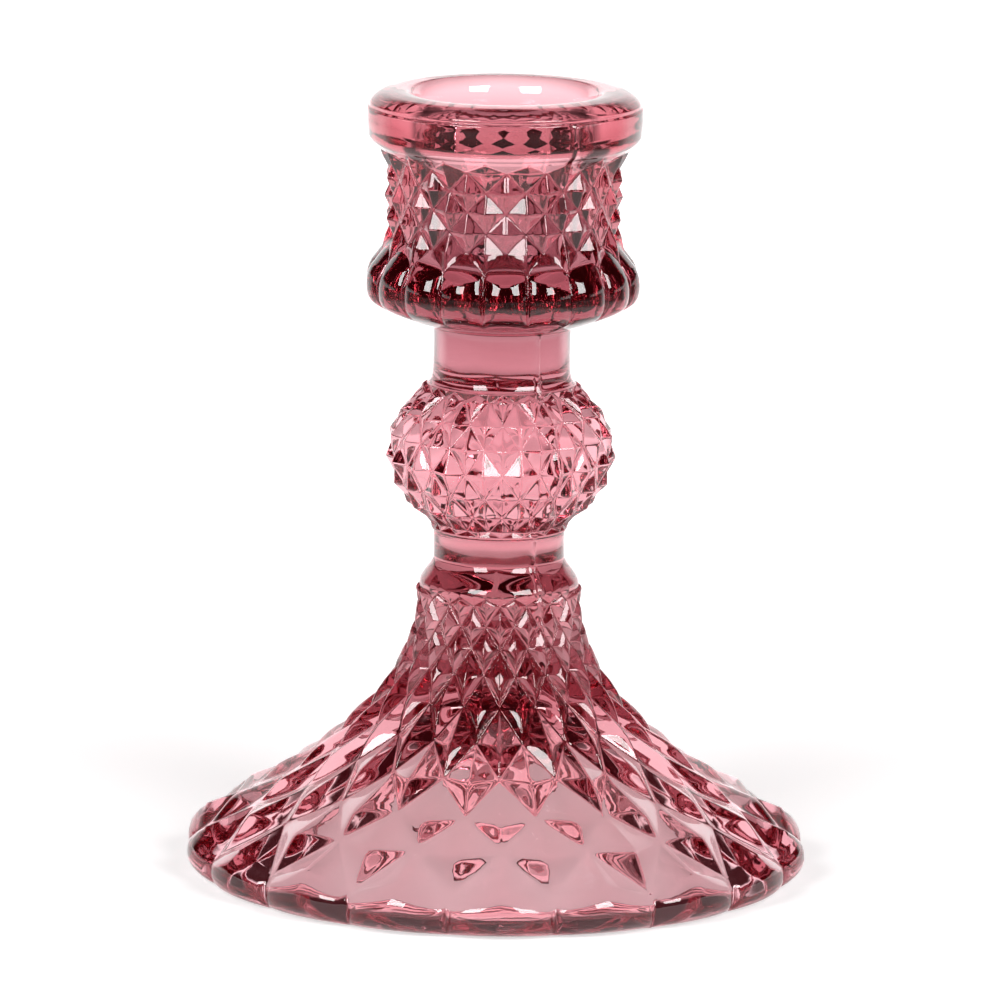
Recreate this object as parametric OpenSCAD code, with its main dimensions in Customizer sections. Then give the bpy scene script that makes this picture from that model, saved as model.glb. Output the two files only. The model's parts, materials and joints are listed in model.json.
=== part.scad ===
// Pressed-glass candlestick: a diamond-cut trumpet foot, a studded knop and a diamond-cut
// candle cup with a lobed collar. The origin is on the axis, at the level of the surface that
// it stands on. +Z is up, and the front column of diamonds faces -Y.

/* [Pattern] */
// Number of diamond columns around the axis
columns = 18; // [16:1:20]
// How far the studs of the cup stand out of the valleys between them
cup_relief = 1.1; // [0.6:0.1:1.4]
// How far the studs of the knop stand out
knop_relief = 1.0; // [0.6:0.1:1.4]
// How far the largest diamonds of the foot stand out
foot_relief = 2.7; // [1:0.1:3]

/* [Foot] */
// Largest radius of the foot
foot_r = 41.2; // [40:0.1:43]
// Height of the thick scalloped edge
edge_h = 6.5; // [5:0.5:7]
// Radius of the hollow under the foot, where it opens
hollow_r = 36.5; // [35:0.5:37]
// Height of the top of the hollow
hollow_h = 22.5; // [19:0.5:23]
// Radius of the slender top of the trumpet
trumpet_r = 10.9; // [10.5:0.1:11.5]

/* [Stem] */
// Radius of the waist below the knop
lower_neck_r = 8.6; // [8:0.1:9]
// Radius of the waist above the knop
upper_neck_r = 9; // [8.5:0.1:9.5]
// Largest radius of the knop, over its studs
knop_r = 15.2; // [13.5:0.1:16]

/* [Candle cup] */
// Radius of the candle socket
socket_r = 11.5; // [11:0.1:12]
// Radius of the socket's flared mouth
mouth_r = 12.3; // [12.2:0.1:12.8]
// Radius of the cup's waist, over its studs
cup_r = 15.6; // [15:0.1:16]
// Largest radius of the lobed collar
collar_r = 18.1; // [17.5:0.1:19]
// Largest radius of the rim bead
rim_r = 18.1; // [17.8:0.1:19]

/* [Hidden] */
$fn = 96;
half_pitch = 180 / columns;

// Levels where one section ends and the next begins
flare_top = 20.3;
trumpet_top = 38.3;
lower_neck_top = 46.1;
knop_top = 65.2;
upper_neck_top = 73.4;
collar_top = 81.9;
cup_top = 96.5;
rim_top = 104;

// Smooth shoulder between the trumpet and the lower waist
shoulder_r = trumpet_r - 0.3;
shoulder_h = 4.1;

// Socket: a straight stretch for the candle over a floor with a rounded corner
socket_floor = 79.9;
socket_corner = 2;
socket_straight_top = 100;

// Rose glass
glass = "#b0566e";

// Foot diamonds: the levels of the rows, lowest first, and how deep each row is cut
// as a share of foot_relief
foot_levels = [edge_h, 9.3, 12.6, 16.5, flare_top, 24.4, 28.2, 31.5, 34.4, 37.2];
foot_depths = [0.6, 1.0, 0.96, 0.85, 0.8, 0.6, 0.45, 0.4, 0.36, 0.3];
foot_curve_from = 8;
foot_curve_to = 37.5;
foot_curve_r = 37.4;
foot_curve_power = 2.15;

// How the hollow's wall bends: 1 is a plain cone, and 2 a dome
hollow_power = 1.6;

// Knop diamonds: rows at equal steps around a flattened ball
knop_mid = 56;
knop_half_h = 11.6;
knop_row_step = 16.3;
knop_first_row = -3.5 - 3 * knop_row_step;

// Cup diamonds
cup_row_h = 2.65;
cup_levels = [for (k = [0:4]) 84.65 + k * cup_row_h];

// A row is [level, radius at the front column, radius half a pitch away, roundness].
// Roundness 0 joins the two radii in a straight slope, and 1 in a round lobe.
function row_radius(row, u) =
    row[2] + (row[1] - row[2]) * ((1 - row[3]) * (1 - u) + row[3] * sqrt(max(0, 1 - u * u)));

function between_columns(t) = let (m = t - 2 * floor(t / 2)) m <= 1 ? m : 2 - m;

function row_points(row, steps) = [
    for (i = [0:2 * columns * steps - 1])
        let (r = row_radius(row, between_columns(i / steps)), a = i * half_pitch / steps)
            [r * sin(a), -r * cos(a), row[0]]
];

// Two triangles of the skin between rows k and k + 1, split along the valley between studs
function skin_faces(rows, steps, k, i) =
    let (n = 2 * columns * steps, j = (i + 1) % n,
         a = k * n + i, b = k * n + j, c = a + n, d = b + n,
         front_is_low = rows[k][1] < rows[k][2],
         at_front = between_columns(i / steps) < between_columns((i + 1) / steps),
         along = front_is_low == at_front)
    along ? [[a, c, d], [a, d, b]] : [[a, c, b], [c, d, b]];

module studded_solid(rows, steps = 1) {
    n = 2 * columns * steps;
    last = len(rows) - 1;
    skin = [for (k = [0:last - 1], i = [0:n - 1]) each skin_faces(rows, steps, k, i)];
    polyhedron(
        points = [for (row = rows) each row_points(row, steps)],
        faces = concat([[for (i = [0:n - 1]) i]], skin, [[for (i = [n - 1:-1:0]) last * n + i]]),
        convexity = 10
    );
}

// A row of studs: even rows have a valley at the front column, odd rows a stud
function stud_row(level, r, depth, valley_in_front) =
    valley_in_front ? [level, r - depth, r, 0] : [level, r, r - depth, 0];

function foot_radius(level) =
    trumpet_r + (foot_curve_r * foot_r / 41.2 - trumpet_r)
        * pow(max(0, foot_curve_to - level) / (foot_curve_to - foot_curve_from), foot_curve_power);

function foot_row(k) =
    stud_row(foot_levels[k], k == 0 ? foot_r - 2.1 : foot_radius(foot_levels[k]),
             foot_relief * foot_depths[k], k % 2 == 1);

function knop_level(k) = knop_mid + knop_half_h * sin(knop_first_row + k * knop_row_step);
function knop_radius(k) = knop_r * cos(knop_first_row + k * knop_row_step);

module socket() {
    rotate_extrude()
        polygon([
            [0, socket_floor],
            for (a = [-90:15:0])
                [socket_r - socket_corner + socket_corner * cos(a),
                 socket_floor + socket_corner + socket_corner * sin(a)],
            [socket_r, socket_straight_top],
            [mouth_r, rim_top - 1],
            [mouth_r, rim_top + 1],
            [0, rim_top + 1]
        ]);
}

module foot_hollow() {
    // A bell that follows the foot at a nearly even wall thickness, open below
    rotate_extrude()
        polygon([
            [0, -1],
            [hollow_r, -1],
            for (s = [0:0.1:1])
                [hollow_r * (1 - s), hollow_h * (1 - pow(1 - s, hollow_power))]
        ]);
}

module foot_edge() color(glass) difference() {
    studded_solid([
        [0, foot_r - 2.2, foot_r - 2.5, 1],
        [0.9, foot_r - 0.8, foot_r - 2.1, 1],
        [2.7, foot_r, foot_r - 1.9, 1],
        [4.6, foot_r - 0.5, foot_r - 2.5, 0.8],
        foot_row(0)
    ], 3);
    foot_hollow();
}

module foot_flare() color(glass) difference() {
    studded_solid([for (k = [0:4]) foot_row(k)]);
    foot_hollow();
}

module foot_trumpet() color(glass) difference() {
    studded_solid([
        for (k = [4:9]) foot_row(k),
        [trumpet_top, shoulder_r, shoulder_r, 0]
    ]);
    foot_hollow();
}

module lower_neck() color(glass)
    rotate_extrude()
        polygon([
            [0, trumpet_top],
            for (t = [0:0.125:1])
                [shoulder_r - (shoulder_r - lower_neck_r) * t * t * (3 - 2 * t),
                 trumpet_top + shoulder_h * t],
            for (a = [0:30:90])
                [lower_neck_r + 0.4 * (1 - cos(a)), lower_neck_top - 2 + 2 * sin(a)],
            [0, lower_neck_top]
        ]);

module knop() color(glass)
    studded_solid([
        [lower_neck_top, lower_neck_r + 0.4, lower_neck_r + 0.4, 0],
        for (k = [0:6]) stud_row(knop_level(k), knop_radius(k), knop_relief * (k == 0 ? 0.6 : 1),
                                 k % 2 == 1),
        [knop_top, upper_neck_r + 0.8, upper_neck_r + 0.8, 0]
    ]);

module upper_neck() color(glass)
    rotate_extrude()
        polygon([
            [0, knop_top],
            for (a = [0:15:90])
                [upper_neck_r + 0.8 * (1 - sin(a)), knop_top + 2.4 * (1 - cos(a))],
            for (a = [0:30:90])
                [upper_neck_r + 0.5 * (1 - cos(a)), upper_neck_top - 1.4 + 1.4 * sin(a)],
            [0, upper_neck_top]
        ]);

module cup_collar() color(glass) difference() {
    studded_solid([
        [upper_neck_top, upper_neck_r + 0.5, upper_neck_r + 0.5, 0],
        [74.5, collar_r - 4.3, collar_r - 4.3, 0],
        [75.5, collar_r - 1.9, collar_r - 2.4, 1],
        [76.8, collar_r - 0.4, collar_r - 1.5, 1],
        [78.4, collar_r, collar_r - 1.2, 1],
        [80.2, collar_r - 0.3, collar_r - 1.4, 1],
        [collar_top, collar_r - 1.1, collar_r - 2.4, 0.6]
    ], 3);
    socket();
}

module candle_cup() color(glass) difference() {
    studded_solid([
        [collar_top, collar_r - 1.1, collar_r - 2.4, 0],
        for (k = [0:4])
            stud_row(cup_levels[k], cup_r + (k == 0 ? 0.3 : 0), cup_relief, k % 2 == 0),
        [cup_top, cup_r + 0.9, cup_r + 0.9, 0]
    ]);
    socket();
}

module rim_bead() color(glass) difference() {
    rotate_extrude()
        polygon([
            [0, cup_top],
            [cup_r + 0.9, cup_top],
            for (a = [-60:15:0])
                [rim_r - 2 + 2 * cos(a), 99.4 + 2.2 * sin(a)],
            for (a = [0:15:90])
                [rim_r - 3 + 3 * cos(a), rim_top - 3.2 + 3.2 * sin(a)],
            for (a = [90:15:180])
                [mouth_r + 1 + cos(a), rim_top - 1 + sin(a)],
            [mouth_r, rim_top - 1],
            [0, rim_top - 1]
        ]);
    socket();
}

foot_edge();
foot_flare();
foot_trumpet();
lower_neck();
knop();
upper_neck();
cup_collar();
candle_cup();
rim_bead();
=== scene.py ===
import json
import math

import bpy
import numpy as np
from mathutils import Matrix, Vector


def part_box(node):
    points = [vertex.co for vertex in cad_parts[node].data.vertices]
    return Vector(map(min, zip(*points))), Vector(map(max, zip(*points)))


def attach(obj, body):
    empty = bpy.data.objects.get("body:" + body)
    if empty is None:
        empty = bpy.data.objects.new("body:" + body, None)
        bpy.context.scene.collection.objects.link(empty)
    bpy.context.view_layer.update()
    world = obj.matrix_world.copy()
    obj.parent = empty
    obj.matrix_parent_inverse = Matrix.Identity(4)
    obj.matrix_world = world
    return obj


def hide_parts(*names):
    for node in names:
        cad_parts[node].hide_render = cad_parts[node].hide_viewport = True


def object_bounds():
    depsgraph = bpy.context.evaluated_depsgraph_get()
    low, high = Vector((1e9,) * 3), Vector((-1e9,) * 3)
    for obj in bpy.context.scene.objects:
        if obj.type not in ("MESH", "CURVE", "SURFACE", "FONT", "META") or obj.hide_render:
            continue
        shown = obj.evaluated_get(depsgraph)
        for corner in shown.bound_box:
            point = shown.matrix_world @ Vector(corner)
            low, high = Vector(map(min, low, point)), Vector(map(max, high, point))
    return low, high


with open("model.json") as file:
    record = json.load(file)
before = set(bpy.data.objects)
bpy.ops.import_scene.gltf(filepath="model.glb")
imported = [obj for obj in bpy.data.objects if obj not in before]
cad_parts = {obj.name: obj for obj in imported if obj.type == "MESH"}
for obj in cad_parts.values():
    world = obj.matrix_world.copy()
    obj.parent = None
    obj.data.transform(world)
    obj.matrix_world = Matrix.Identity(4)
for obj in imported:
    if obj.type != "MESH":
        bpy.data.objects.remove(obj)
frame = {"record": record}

# Pressed-glass candlestick. The object is one casting, so it is one closed mesh here: a stack
# of rings that starts at the top of the hollow under the foot, comes down to the standing
# ring, climbs the outside, crosses the rim and ends at the floor of the candle socket.
#
# Lengths are in millimetres until a mesh, light or camera is made. Angles grow from the front
# column, which faces -Y, towards +X. A half is half the pitch between two columns of studs.

MM = 0.001
cad_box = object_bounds()


# ---------------------------------------------------------------- sizes taken from the frame


def top(node):
    """Highest level of a CAD node."""
    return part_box(node)[1].z / MM


def reach(node):
    """Largest distance of a CAD node from the axis, over its front and back columns."""
    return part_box(node)[1].y / MM


FOOT_R = reach("foot_edge")
COLLAR_R = reach("cup_collar")
RIM_R = reach("rim_bead")
EDGE_TOP = top("foot_edge")
FLARE_TOP = top("foot_flare")
TRUMPET_TOP = top("foot_trumpet")
LOWER_NECK_TOP = top("lower_neck")
KNOP_TOP = top("knop")
UPPER_NECK_TOP = top("upper_neck")
CUP_TOP = top("candle_cup")
RIM_TOP = top("rim_bead")
MOUNTS = {m["name"]: m for m in frame["record"]["mounts"]}
SOCKET_R = MOUNTS["candle_socket"]["dims"]["r_mm"]

# Sizes that the frame's boxes don't show
TRUMPET_R = 10.9
SHOULDER_R = TRUMPET_R - 0.3
LOWER_NECK_R = 8.6
UPPER_NECK_R = 9.0
KNOP_R = 15.2
KNOP_MIDDLE = 56
KNOP_HALF_HEIGHT = 11.6
CUP_R = 15.6
MOUTH_R = 12.3
SOCKET_FLOOR = 79.9
RIM_PARTING = 101.8

# The foot over its stud tips: a curve that flares from FLARE_FROM down to its widest row
FLARE_FROM = 37.5
FLARE_HEIGHT = 29.5
FLARE_R = 37.4
FLARE_POWER = 2.15

# The hollow under the foot. A bend of 1 is a plain cone, and 2 a dome.
HOLLOW_R = 36.5
HOLLOW_TOP = 22.5
HOLLOW_BEND = 1.6

# ---------------------------------------------------------------- the grid

COLUMNS = 18
HALVES = 2 * COLUMNS
SUB = 8
RING = HALVES * SUB
HALF_ANGLE = math.pi / COLUMNS
RANDOM = np.random.default_rng(7)

# Mesh lines crowd towards the edges of the studs, where the polished corners need them
GRADE = (np.arange(SUB + 1) / SUB) ** 1.6
STEP_SHARE = GRADE[:SUB] / (GRADE[:SUB] + GRADE[SUB:0:-1])
THETA = ((np.arange(HALVES)[:, None] + STEP_SHARE) * HALF_ANGLE).ravel()

# How far the studs stray: in radians around the axis, in millimetres in level and radius,
# and in depth as a share of it
ANGLE_SLIP = 0.0020
LEVEL_SLIP = 0.035
RADIUS_SLIP = 0.020
DEPTH_SLIP = 0.035

# 0 at the middle of each lobe, which is at the front column and every second half from it,
# and 1 in the grooves between lobes
FROM_LOBE = np.abs((THETA / HALF_ANGLE + 1) % 2 - 1)


def polar(radius, angle, level):
    """Points at a radius, an angle and a level, as rows of x, y, z."""
    radius, angle, level = np.broadcast_arrays(radius, angle, level)
    return np.stack([radius * np.sin(angle), -radius * np.cos(angle), level], -1)


def turned(profile):
    """Round rings from a list of (radius, level)."""
    return [(polar(radius, THETA, level), None) for radius, level in profile]


def lobed(profile):
    """Rings with a round lobe at every column, from a list of (radius, level, groove depth)."""
    arched = np.sqrt(1 - FROM_LOBE**2)
    return [(polar(radius - depth * (1 - arched), THETA, level), None)
            for radius, level, depth in profile]


def between(first, last, shares):
    """Rings on straight lines from one ring to another, at the given shares of the way."""
    return [(first + share * (last - first), None) for share in shares]


def rounded(x, width):
    """The size of x, with the corner at 0 rounded over width on both sides."""
    x = np.abs(x)
    return np.where(x < width, (x * x + width * width) / (2 * width), x)


def arc(steps):
    """Angles of a quarter turn in equal steps, both ends included."""
    return [math.pi / 2 * n / steps for n in range(steps + 1)]


# ---------------------------------------------------------------- four-sided studs


def stud_row(level, radius, depth, stud_in_front, ridge=0.07, valley=0.06, drop=0, dome=0):
    """A row of stud tips. Each stud has a tip on its row, and four flat faces that fall to
    the valleys, which run from the row's low points to those of the rows above and below.
    ridge and valley are how far the polished corners reach, as shares of a half. drop is how
    far the row's low points lie under its tips. dome is 1 for a rounded pebble."""
    return dict(level=level, radius=radius, depth=depth, front=stud_in_front,
                ridge=ridge, valley=valley, drop=drop, dome=dome)


def studded(rows):
    """The rings of a band of studs, from its first row of tips to its last."""
    here = np.arange(HALVES)
    tip = np.array([(here + (0 if r["front"] else 1)) % 2 == 0 for r in rows])
    cut = np.array([[r["depth"] > 0] for r in rows])
    drop = np.array([[r["drop"]] for r in rows])
    level = np.array([[r["level"]] for r in rows]) - drop * ~tip
    depth = np.array([[r["depth"]] for r in rows])
    low_r = np.array([[r["radius"]] for r in rows]) - depth

    # Every stud is a little off its place, as in any hand-cut mould
    angle = here * HALF_ANGLE + RANDOM.normal(0, ANGLE_SLIP, tip.shape) * cut
    level = level + RANDOM.normal(0, LEVEL_SLIP, tip.shape) * cut
    low_r = low_r + RANDOM.normal(0, RADIUS_SLIP, tip.shape) * cut
    depth = depth * (1 + RANDOM.normal(0, DEPTH_SLIP, tip.shape))
    low = polar(low_r, angle, level)
    rise = polar(depth, angle, 0)

    rings = []
    for k in range(len(rows) - 1):
        cuts = np.repeat(np.where(tip[k], 1, 2), SUB)
        for j in range(SUB + (k == len(rows) - 2)):
            ring = np.zeros((HALVES, SUB, 3))
            for i in range(SUB):
                for tip_first in (True, False):
                    near = here if tip_first else (here + 1) % HALVES
                    side = (here + 1) % HALVES if tip_first else here
                    points = stud_point(rows, low, rise, k, near, side,
                                        i if tip_first else SUB - i, j)
                    chosen = tip[k] == tip_first
                    ring[chosen, i] = points[chosen]
            if j:
                rings.append((ring.reshape(RING, 3), cuts))
            else:
                below = np.repeat(np.where(tip[k - 1], 1, 2), SUB) if k else None
                rings.append((ring.reshape(RING, 3), below))
    return rings


def stud_point(rows, low, rise, k, near, side, across, up):
    """A point of the block between rows k and k + 1, across and up steps from a tip of row k.
    near and side are the halves with the tip and with the low point beside it."""
    faces = []
    if across + up <= SUB:
        faces.append((k, k + 1, near, side, across, up))
    if across + up >= SUB:
        faces.append((k + 1, k, side, near, SUB - across, SUB - up))
    total = 0
    for row, other_row, column, beside, p, q in faces:
        share = GRADE[[SUB - p - q, p, q]]
        share = share / share.sum()
        ridge, valley = rows[row]["ridge"], rows[row]["valley"]
        height = rounded(1 - rounded(share[1], ridge) - rounded(share[2], ridge), valley)
        pebble = 1 - (share[1] + share[2]) ** 2
        height = height + rows[row]["dome"] * (pebble - height)
        total = total + (share[0] * low[row, column] + share[1] * low[row, beside]
                         + share[2] * low[other_row, column] + height * rise[row, column])
    return total / len(faces)


# ---------------------------------------------------------------- the sections, upwards


def foot_hollow():
    """A bell under the foot, from its top down to the ring that the foot stands on."""
    steps, wall_r = 24, HOLLOW_R * 0.988
    wall = []
    for n in range(1, steps + 1):
        r = wall_r * n / steps
        wall.append((r, HOLLOW_TOP * (1 - (r / HOLLOW_R) ** HOLLOW_BEND)))
    corner = [(HOLLOW_R - 0.12, 0.16), (HOLLOW_R + 0.15, 0.05), (HOLLOW_R + 0.55, 0)]
    return turned(wall + corner)


def foot_edge():
    """The thick scalloped edge: a ball-like lobe at each column, and a lower groove between
    lobes."""
    rings = turned([(FOOT_R - 3.4, 0), (FOOT_R - 3.0, 0)])
    centre_r, lobe_level, groove_level = FOOT_R - 2.9, 2.7, 2.4
    lobe_reach, groove_reach = 2.9, 1.0
    arched = np.sqrt(1 - FROM_LOBE**2)
    peaked = 1 - rounded(FROM_LOBE, 0.25)
    for turn in [-80, -64, -48, -32, -16, 0, 14, 28, 42, 57, 72]:
        a = math.radians(turn)
        # Round lobes below, that come to the points of the first diamonds above
        bulge = peaked + np.interp(turn, [30, 75], [1, 0.2]) * (arched - peaked)
        hump = peaked + np.interp(turn, [0, 42], [1, 0]) * (arched - peaked)
        if turn > 0:
            lobe_rise, groove_rise = EDGE_TOP - 2.6, 2.1
        else:
            lobe_rise, groove_rise = lobe_level, groove_level
        lobe_r = centre_r + lobe_reach * math.cos(a)
        groove_r = centre_r + groove_reach * math.cos(a)
        lobe_z = lobe_level + lobe_rise * math.sin(a)
        groove_z = groove_level + groove_rise * math.sin(a)
        rings.append((polar(groove_r + bulge * (lobe_r - groove_r), THETA,
                            groove_z + hump * (lobe_z - groove_z)), None))
    return rings


def foot_radius(level):
    """Radius over the stud tips of the foot: a trumpet that flares towards the edge."""
    flare = max(0, FLARE_FROM - level) / FLARE_HEIGHT
    return TRUMPET_R + (FLARE_R - TRUMPET_R) * flare**FLARE_POWER


def foot_studs():
    """Diamonds that grow from the slender top of the trumpet to the edge: crisp on the wide
    part, and more and more like pebbles above it."""
    levels = [EDGE_TOP, 9.3, 12.6, 16.5, FLARE_TOP, 24.4, 28.2, 31.5, 34.4, 37.2]
    depths = [0.5, 2.7, 2.6, 2.3, 2.2, 1.6, 1.2, 1.08, 0.97, 0.8]
    rows = []
    for k, (level, depth) in enumerate(zip(levels, depths)):
        dome = min(1, max(0, k - 2) / 4)
        if k == 0:
            radius, drop = FOOT_R - 2.15, EDGE_TOP - 4.5
        else:
            radius, drop = foot_radius(level), 0
        rows.append(stud_row(level, radius, depth, k % 2 == 0, 0.14, 0.12, drop, dome))
    rows.append(stud_row(TRUMPET_TOP, SHOULDER_R, 0, True))
    return studded(rows)


def lower_neck():
    """A rounded shoulder and a plain waist."""
    shoulder_height, steps = 4.1, 10
    profile = []
    for n in range(1, steps + 1):
        t = n / steps
        narrowed = t * t * (3 - 2 * t)
        profile.append((SHOULDER_R - (SHOULDER_R - LOWER_NECK_R) * narrowed,
                        TRUMPET_TOP + shoulder_height * t))
    profile.append((LOWER_NECK_R, 43.4))
    for a in arc(4):
        profile.append((LOWER_NECK_R + 0.4 * (1 - math.cos(a)), 44.1 + 1.8 * math.sin(a)))
    return turned(profile)


def knop():
    """A flattened ball covered in studs, softer above than below."""
    rows = [stud_row(LOWER_NECK_TOP, LOWER_NECK_R + 0.4, 0, False)]
    middle_row_at, row_step = -3.5, 16.3  # in degrees
    for k in range(7):
        a = math.radians(middle_row_at + row_step * (k - 3))
        level, radius = KNOP_MIDDLE + KNOP_HALF_HEIGHT * math.sin(a), KNOP_R * math.cos(a)
        depth = 0.6 if k == 0 else 1.0
        dome = max(0, (k - 2) / 4)
        rows.append(stud_row(level, radius, depth, k % 2 == 0, 0.08, 0.07, 0, dome))
    rows.append(stud_row(KNOP_TOP, UPPER_NECK_R + 0.8, 0, True))
    return studded(rows)


def upper_neck():
    """A plain waist that widens a little into the ball and the cup."""
    foot = [(UPPER_NECK_R + 0.8 * (1 - math.sin(a)), KNOP_TOP + 2.4 * (1 - math.cos(a)))
            for a in arc(6)[1:]]
    waist = [(UPPER_NECK_R, 68.6), (UPPER_NECK_R, 69.8), (UPPER_NECK_R, 71.0),
             (UPPER_NECK_R + 0.03, 72.0)]
    steps = [(0.08, 0.55), (0.12, 0.45), (0.42, 0.33), (0.50, 0.2), (0.60, 0.1)]
    ledge = [(UPPER_NECK_R + proud, UPPER_NECK_TOP - below) for proud, below in steps]
    return turned(foot + waist + ledge)


def cup_studs():
    """The diamonds around the candle cup, up to the plain band under the rim."""
    first_level, row_height, depth = 84.65, 2.65, 1.15
    rows = []
    for k, widen in enumerate([0.1, 0.1, 0.15, 0.15, 0.5]):
        rows.append(stud_row(first_level + row_height * k, CUP_R + widen, depth, k % 2 == 1))
    rows.append(stud_row(CUP_TOP, CUP_R + 0.9, 0, False))
    return studded(rows)


def cup_collar(cup_start):
    """Upright lobes under the cup. The top of each is a lens-shaped face under an arch, and
    the cup's lowest studs come down between the arches to the grooves."""
    under = turned([(10.4, 73.5), (11.6, 73.7), (12.8, 74.05), (13.7, 74.4), (14.6, 74.8)])
    bulge = lobed([
        (COLLAR_R - 2.5, 75.2, 0.1),
        (COLLAR_R - 1.65, 75.65, 0.4),
        (COLLAR_R - 0.95, 76.1, 0.8),
        (COLLAR_R - 0.45, 76.6, 1.05),
        (COLLAR_R - 0.15, 77.2, 1.15),
        (COLLAR_R, 78.1, 1.2),
        (COLLAR_R, 79.0, 1.25),
        (COLLAR_R - 0.12, 79.8, 1.35),
        (COLLAR_R - 0.32, 80.5, 1.5),
    ])
    rise = (1 - FROM_LOBE**2) ** 0.75
    lens_foot = polar(16.1 + 1.35 * rise, THETA, 81.75 - 0.6 * rise)
    arch = polar(16.15 - 0.8 * rise, THETA, 81.9 + 1.9 * rise)
    lens = between(lens_foot, arch, [0, 0.06, 0.35, 0.65, 0.94, 1])
    kites = between(arch, cup_start, [0.06, 0.35, 0.65, 0.94])
    return under + bulge + lens + kites


def rim_bead():
    """The bead around the mouth, over a narrow undercut."""
    profile = [(16.62, 96.75), (17.0, 97.0), (17.45, 97.35), (17.8, 97.8), (18.0, 98.3),
               (RIM_R - 0.12, 98.9), (RIM_R - 0.03, 99.6), (RIM_R, 100.4), (RIM_R - 0.06, 101.2)]
    profile += [(RIM_R - 0.05, 101.7), (RIM_R - 0.09, 101.85), (RIM_R - 0.26, 101.97),
                (RIM_R - 0.34, 102.15)]
    for a in arc(9)[2:]:
        profile.append((RIM_R - 3 + 2.9 * math.cos(a), 101.3 + 2.6 * math.sin(a)))
    return turned(profile + [(14.6, RIM_TOP), (13.9, RIM_TOP - 0.03)])


def socket():
    """The flared mouth, the straight bore for the candle and its rounded floor."""
    flare = MOUTH_R + 1 - SOCKET_R
    lip = [(MOUTH_R + 1 - flare * math.sin(a), RIM_TOP - 0.06 - 3 * (1 - math.cos(a)))
           for a in arc(12)]
    bore = [(SOCKET_R, 99), (SOCKET_R, 96), (SOCKET_R, 92), (SOCKET_R, 88), (SOCKET_R, 84)]
    corner = [(SOCKET_R - 2 + 2 * math.cos(a), SOCKET_FLOOR + 2 - 2 * math.sin(a)) for a in arc(6)]
    return turned(lip + bore + corner + [(6, SOCKET_FLOOR), (2.5, SOCKET_FLOOR)])


# ---------------------------------------------------------------- traces of the mould


def add_waviness(points):
    """Chill waves: the surface wanders in and out by a few hundredths of a millimetre."""
    angle = np.arctan2(points[..., 0], -points[..., 1])
    shift = np.zeros(points.shape[:-1])
    for around, upward, size in [(2, 0.10, 0.040), (3, 0.17, 0.030), (5, 0.31, 0.022),
                                 (7, 0.52, 0.016), (11, 0.83, 0.010), (4, 1.30, 0.008)]:
        phase = RANDOM.uniform(0, 2 * math.pi)
        shift += size * np.sin(around * angle + upward * points[..., 2] + phase)
    radius = np.maximum(np.hypot(points[..., 0], points[..., 1]), 4)
    points[..., :2] *= (1 + shift / radius)[..., None]
    return points


def add_seams(points):
    """The two upright lines where the mould's halves met: proud, a little jagged, and thick
    where a section of the mould ended."""
    line_height, line_half_width = 0.28, 0.26
    nub_height, nub_half_length = 0.45, 0.45
    ends = (UPPER_NECK_TOP - 0.2, KNOP_TOP + 0.4, LOWER_NECK_TOP - 1.5, TRUMPET_TOP + 1)
    for side, last in ((3, RIM_PARTING), (3 + COLUMNS, CUP_TOP)):
        middle = side * SUB
        level = points[:, middle, 2]
        height = line_height * RANDOM.uniform(0.5, 1.3, len(points))
        for end in ends:
            height += nub_height * np.exp(-(((level - end) / nub_half_length) ** 2))
        height *= level < last
        for column in range(middle - SUB + 1, middle + SUB):
            ring = points[:, column]
            radius = np.hypot(ring[:, 0], ring[:, 1])
            across = radius * abs(THETA[column] - THETA[middle])
            proud = height * np.exp(-((across / line_half_width) ** 2))
            ring[:, :2] *= (1 + proud / radius)[:, None]
    return points


# ---------------------------------------------------------------- from rings to a mesh


def glass_mesh(name, stack, pole_low, pole_high):
    """One closed mesh from a stack of rings, closed at each end by a point on the axis. Each
    ring comes with how the faces under it are cut in two: None where they stay whole, and 1
    or 2 at each step for one diagonal or the other."""
    points = np.array([ring for ring, _ in stack])
    count = len(points)
    vertices = np.vstack([[[0, 0, pole_low]], points.reshape(-1, 3), [[0, 0, pole_high]]])
    faces = []
    for c in range(RING):
        d = (c + 1) % RING
        faces.append((0, 1 + c, 1 + d))
        last = 1 + (count - 1) * RING
        faces.append((len(vertices) - 1, last + d, last + c))
    for n in range(count - 1):
        cuts = stack[n + 1][1]
        low, high = 1 + n * RING, 1 + (n + 1) * RING
        for c in range(RING):
            d = (c + 1) % RING
            corners = (low + c, low + d, high + d, high + c)
            if cuts is None:
                faces.append(corners)
            elif cuts[c] == 1:
                faces.append((corners[0], corners[1], corners[3]))
                faces.append((corners[1], corners[2], corners[3]))
            else:
                faces.append((corners[0], corners[1], corners[2]))
                faces.append((corners[0], corners[2], corners[3]))
    mesh = bpy.data.meshes.new(name)
    mesh.from_pydata((vertices * MM).tolist(), [], faces)
    mesh.validate()
    mesh.shade_smooth()
    mesh.update()
    return mesh


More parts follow.
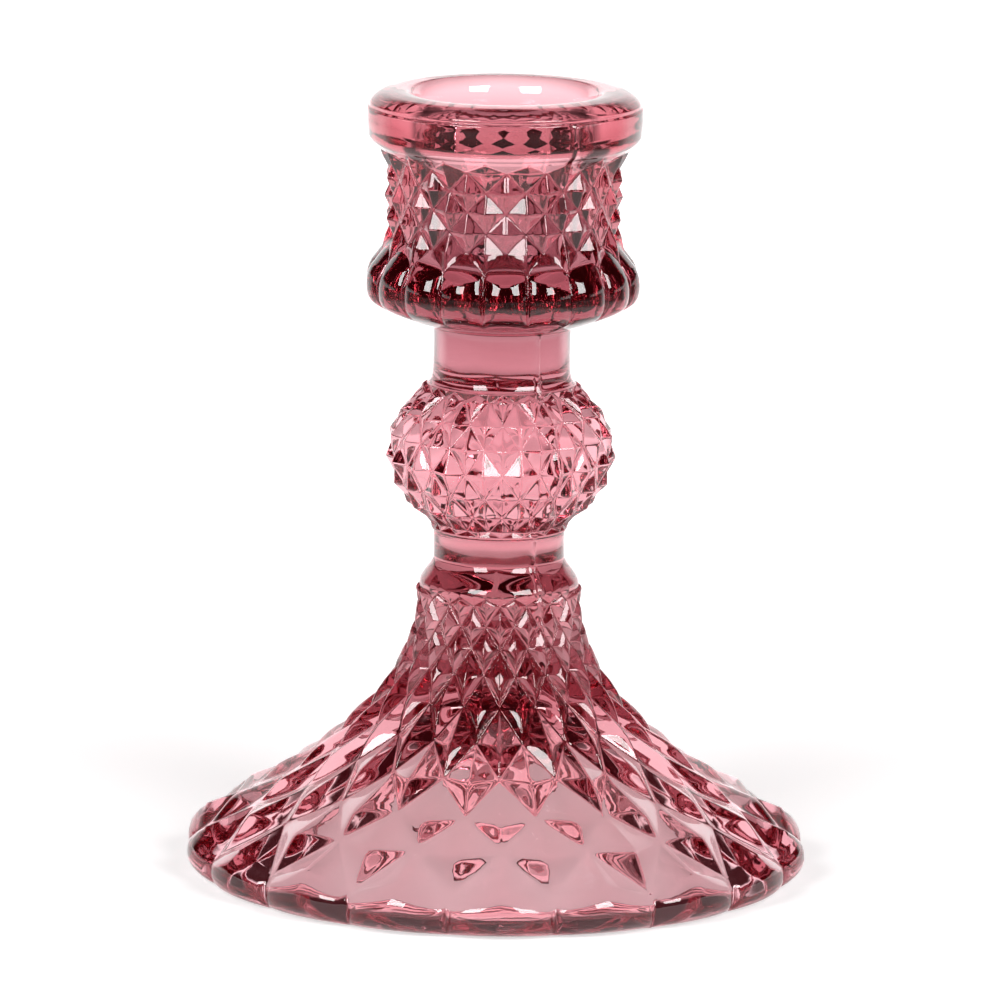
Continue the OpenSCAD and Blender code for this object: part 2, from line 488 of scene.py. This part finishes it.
def painted_shade_colour(level, inside):
    """How much of each colour the painted shade lets through: a darker rose filter, set by level,
    that stands in for the shade of long paths through the glass and of the dim room. Outside, the
    painted shade is strongest around the upper neck and the cup, and the ball and the foot's edge
    have none. Inside, it is faint in the hollow, and fades out of the socket towards the mouth."""
    if level < SOCKET_FLOOR - 1 and inside:
        return (0.88, 0.60, 0.63)
    if inside:
        levels = [SOCKET_FLOOR, 95, 100]
        colours = [(0.59, 0.40, 0.44), (0.59, 0.40, 0.44), (1.00, 1.00, 1.00)]
    else:
        levels = [0, EDGE_TOP, 12, FLARE_TOP, 28, TRUMPET_TOP, LOWER_NECK_TOP, 50, 60, KNOP_TOP,
                  UPPER_NECK_TOP, 79, CUP_TOP, 100, RIM_TOP]
        colours = [(1.00, 1.00, 1.00), (1.00, 0.95, 0.96), (0.96, 0.72, 0.74), (0.86, 0.68, 0.70),
                   (0.58, 0.44, 0.45), (0.60, 0.36, 0.38), (0.66, 0.42, 0.45), (1.00, 1.00, 1.00),
                   (1.00, 1.00, 1.00), (0.62, 0.42, 0.45), (0.44, 0.25, 0.28), (0.56, 0.36, 0.39),
                   (0.62, 0.22, 0.25), (0.74, 0.32, 0.36), (0.86, 0.62, 0.65)]
    return tuple(np.interp(level, levels, channel) for channel in zip(*colours))


def add_painted_shade(mesh, count_inside_below, count_outside):
    """Store the painted shade's colour at each point of the mesh. The counts are of rings."""
    last = count_inside_below + count_outside
    # A colour attribute of painted shade, darker where the glass should read darker
    painted_shade_filter = mesh.color_attributes.new("painted_shade_filter", "FLOAT_COLOR", "POINT")
    for vertex in mesh.vertices:
        ring = (vertex.index - 1) // RING
        inside = ring < count_inside_below or ring >= last
        painted_shade_filter.data[vertex.index].color = (*painted_shade_colour(vertex.co.z / MM, inside), 1)


def build_candlestick():
    """The glass body: every section's rings in one stack, then the traces of the mould."""
    cup = cup_studs()
    outside = (foot_edge() + foot_studs() + lower_neck() + knop() + upper_neck()
               + cup_collar(cup[0][0]) + cup + rim_bead())
    inside_below, inside_above = foot_hollow(), socket()
    points = add_seams(np.array([ring for ring, _ in outside]))
    outside = [(ring, cuts) for ring, (_, cuts) in zip(points, outside)]
    stack = inside_below + outside + inside_above
    points = add_waviness(np.array([ring for ring, _ in stack]))
    stack = [(ring, cuts) for ring, (_, cuts) in zip(points, stack)]
    mesh = glass_mesh("candlestick_glass", stack, HOLLOW_TOP, SOCKET_FLOOR)
    # Painted shade by level, stored at each point of the glass
    add_painted_shade(mesh, len(inside_below), len(outside))
    body = bpy.data.objects.new("candlestick_glass", mesh)
    bpy.context.scene.collection.objects.link(body)
    crisp = body.modifiers.new("crisp_faces", "WEIGHTED_NORMAL")
    crisp.weight = 80
    return body


# ---------------------------------------------------------------- materials


def new_material(name):
    """An empty node material and its output."""
    material = bpy.data.materials.new(name)
    material.use_nodes = True
    material.node_tree.nodes.clear()
    output = material.node_tree.nodes.new("ShaderNodeOutputMaterial")
    return material, material.node_tree, output


def math_node(tree, operation, *values):
    """A Math node. Each value is a number or a socket."""
    node = tree.nodes.new("ShaderNodeMath")
    node.operation = operation
    for socket, value in zip(node.inputs, values):
        if isinstance(value, (int, float)):
            socket.default_value = value
        else:
            tree.links.new(value, socket)
    return node.outputs[0]


def smooth_range(tree, value, low, high):
    """0 below low, 1 above high and smooth between."""
    node = tree.nodes.new("ShaderNodeMapRange")
    node.interpolation_type = "SMOOTHSTEP"
    tree.links.new(value, node.inputs["Value"])
    node.inputs["From Min"].default_value = low
    node.inputs["From Max"].default_value = high
    return node.outputs["Result"]


def rose_glass():
    """Clear glass that takes its rose colour from its thickness, darkened by level with painted
    shade from the mesh's colour attribute, and with faint polish ripples."""
    material, tree, output = new_material("rose_glass")
    surface = tree.nodes.new("ShaderNodeBsdfPrincipled")
    surface.inputs["Transmission Weight"].default_value = 1
    surface.inputs["Roughness"].default_value = 0
    surface.inputs["IOR"].default_value = 1.52
    place = tree.nodes.new("ShaderNodeTexCoord")
    ripple = tree.nodes.new("ShaderNodeTexNoise")
    ripple.inputs["Scale"].default_value = 420
    ripple.inputs["Detail"].default_value = 2
    bump = tree.nodes.new("ShaderNodeBump")
    bump.inputs["Strength"].default_value = 0.03
    bump.inputs["Distance"].default_value = 0.0004
    tree.links.new(place.outputs["Object"], ripple.inputs["Vector"])
    tree.links.new(ripple.outputs["Fac"], bump.inputs["Height"])
    tree.links.new(bump.outputs["Normal"], surface.inputs["Normal"])
    # Painted shade by level filters the light that passes through the glass
    painted_shade_filter = tree.nodes.new("ShaderNodeAttribute")
    painted_shade_filter.attribute_name = "painted_shade_filter"
    tree.links.new(painted_shade_filter.outputs["Color"], surface.inputs["Base Color"])
    tree.links.new(surface.outputs["BSDF"], output.inputs["Surface"])
    tint = tree.nodes.new("ShaderNodeVolumeAbsorption")
    tint.inputs["Color"].default_value = (0.667, 0.067, 0.167, 1)
    tint.inputs["Density"].default_value = 60
    tree.links.new(tint.outputs["Volume"], output.inputs["Volume"])
    return material


def studio_white():
    """The matt floor: white behind the object and close around it, and greyer in front, where
    the glass takes its darker tones from. The white glows, and more so further out, where the
    softboxes reach less."""
    material, tree, output = new_material("studio_white")
    surface = tree.nodes.new("ShaderNodeBsdfPrincipled")
    surface.inputs["Roughness"].default_value = 0.9
    surface.inputs["Specular IOR Level"].default_value = 0
    surface.inputs["Emission Color"].default_value = (1, 1, 1, 1)
    place = tree.nodes.new("ShaderNodeTexCoord")
    parts = tree.nodes.new("ShaderNodeSeparateXYZ")
    distance = tree.nodes.new("ShaderNodeVectorMath")
    distance.operation = "LENGTH"
    tree.links.new(place.outputs["Object"], distance.inputs[0])
    tree.links.new(place.outputs["Object"], parts.inputs[0])
    away = distance.outputs["Value"]
    behind = smooth_range(tree, math_node(tree, "DIVIDE", parts.outputs[1], away), 0.2, 0.6)
    near = math_node(tree, "SUBTRACT", 1.0, smooth_range(tree, away, 0.12, 0.30))
    white = math_node(tree, "MAXIMUM", behind, near)
    paint = math_node(tree, "MULTIPLY_ADD", white, 0.40, 0.22)
    tree.links.new(paint, surface.inputs["Base Color"])
    lift = math_node(tree, "MULTIPLY_ADD", smooth_range(tree, away, 0.04, 0.30), 0.88, 0.52)
    glow = math_node(tree, "MULTIPLY_ADD", white, lift, 0.05)
    tree.links.new(glow, surface.inputs["Emission Strength"])
    tree.links.new(surface.outputs["BSDF"], output.inputs["Surface"])
    return material


# ---------------------------------------------------------------- studio


def add_floor(level, radius):
    """A wide round floor, just under the glass."""
    sides = 96
    angles = [2 * math.pi * n / sides for n in range(sides)]
    rim = [(radius * math.sin(a), radius * math.cos(a), level) for a in angles]
    mesh = bpy.data.meshes.new("studio_floor")
    mesh.from_pydata(rim, [], [tuple(reversed(range(sides)))])
    mesh.materials.append(studio_white())
    floor = bpy.data.objects.new("studio_floor", mesh)
    bpy.context.scene.collection.objects.link(floor)
    return floor


def toward(azimuth, elevation, distance):
    """A point at a distance from the origin, in metres. Azimuth grows from the front to +X."""
    a, e = math.radians(azimuth), math.radians(elevation)
    return (distance * math.sin(a) * math.cos(e), -distance * math.cos(a) * math.cos(e),
            distance * math.sin(e))


def add_softbox(name, azimuth, elevation, distance, width, height, radiance):
    """A rectangular soft light that faces the middle of the object."""
    light = bpy.data.lights.new(name, "AREA")
    light.shape = "RECTANGLE"
    light.size = width
    light.size_y = height
    light.energy = radiance * math.pi * width * height
    lamp = bpy.data.objects.new(name, light)
    lamp.location = toward(azimuth, elevation, distance)
    aim = bpy.data.objects.new(name + "_aim", None)
    aim.location = (0, 0, (cad_box[0].z + cad_box[1].z) / 2)
    bpy.context.scene.collection.objects.link(lamp)
    bpy.context.scene.collection.objects.link(aim)
    track = lamp.constraints.new("TRACK_TO")
    track.target = aim
    track.track_axis = "TRACK_NEGATIVE_Z"
    track.up_axis = "UP_Y"


def light_the_room():
    """An overexposed white sweep behind the object, with a low white band at its sides, in a
    dim wine-coloured room."""
    world = bpy.data.worlds.new("studio_room")
    bpy.context.scene.world = world
    world.use_nodes = True
    tree = world.node_tree
    tree.nodes.clear()
    output = tree.nodes.new("ShaderNodeOutputWorld")
    background = tree.nodes.new("ShaderNodeBackground")
    place = tree.nodes.new("ShaderNodeTexCoord")
    parts = tree.nodes.new("ShaderNodeSeparateXYZ")
    tree.links.new(place.outputs["Generated"], parts.inputs[0])
    x, y, z = parts.outputs
    flat = math_node(tree, "SQRT", math_node(tree, "ADD", math_node(tree, "MULTIPLY", x, x),
                                             math_node(tree, "MULTIPLY", y, y)))
    # 1 straight behind the object, 0 at its sides and -1 in front
    behind = math_node(tree, "DIVIDE", y, flat)
    sweep = math_node(tree, "MULTIPLY", smooth_range(tree, behind, 0.68, 0.82),
                      math_node(tree, "SUBTRACT", 1.0, smooth_range(tree, z, 0.35, 0.60)))
    horizon = math_node(tree, "MULTIPLY", smooth_range(tree, behind, -0.50, -0.30),
                        math_node(tree, "SUBTRACT", 1.0, smooth_range(tree, z, 0.04, 0.12)))
    white = math_node(tree, "MAXIMUM", sweep, horizon)
    shade = tree.nodes.new("ShaderNodeMix")
    shade.data_type = "RGBA"
    tree.links.new(white, shade.inputs["Factor"])
    shade.inputs["A"].default_value = (0.05, 0.006, 0.009, 1)
    shade.inputs["B"].default_value = (1.6, 1.6, 1.6, 1)
    tree.links.new(shade.outputs["Result"], background.inputs["Color"])
    background.inputs["Strength"].default_value = 1
    tree.links.new(background.outputs[0], output.inputs["Surface"])


def add_camera(distance, height, turn, pitch, roll, lens):
    """The camera, in metres and degrees, looking at the axis from in front."""
    camera = bpy.data.objects.new("camera", bpy.data.cameras.new("camera"))
    a = math.radians(turn)
    camera.location = (distance * math.sin(a), -distance * math.cos(a), height)
    look = Matrix.Rotation(a, 3, "Z") @ Matrix.Rotation(math.radians(90 - pitch), 3, "X")
    camera.rotation_euler = (look @ Matrix.Rotation(math.radians(roll), 3, "Z")).to_euler()
    camera.data.lens = lens
    camera.data.sensor_width = 36
    camera.data.clip_start = 0.05
    camera.data.clip_end = 100
    bpy.context.scene.collection.objects.link(camera)
    bpy.context.scene.camera = camera


# ---------------------------------------------------------------- the scene

add_camera(distance=1.0965, height=0.2697, turn=-1.2, pitch=11.36, roll=0.75, lens=305.8)

candlestick = build_candlestick()
candlestick.data.materials.append(rose_glass())
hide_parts("foot_edge", "foot_flare", "foot_trumpet", "lower_neck", "knop",
            "upper_neck", "cup_collar", "candle_cup", "rim_bead")
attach(candlestick, "root")

floor = add_floor(level=-0.0003, radius=12)
for name, azimuth in (("softbox_left", -36), ("softbox_right", 36)):
    add_softbox(name, azimuth, elevation=30, distance=1.1, width=0.46, height=0.46, radiance=14)
light_the_room()

# Light bounces many times inside the glass before it comes out
scene = bpy.context.scene
scene.view_settings.view_transform = "Standard"
scene.cycles.max_bounces = 32
scene.cycles.transmission_bounces = 32
scene.cycles.glossy_bounces = 32
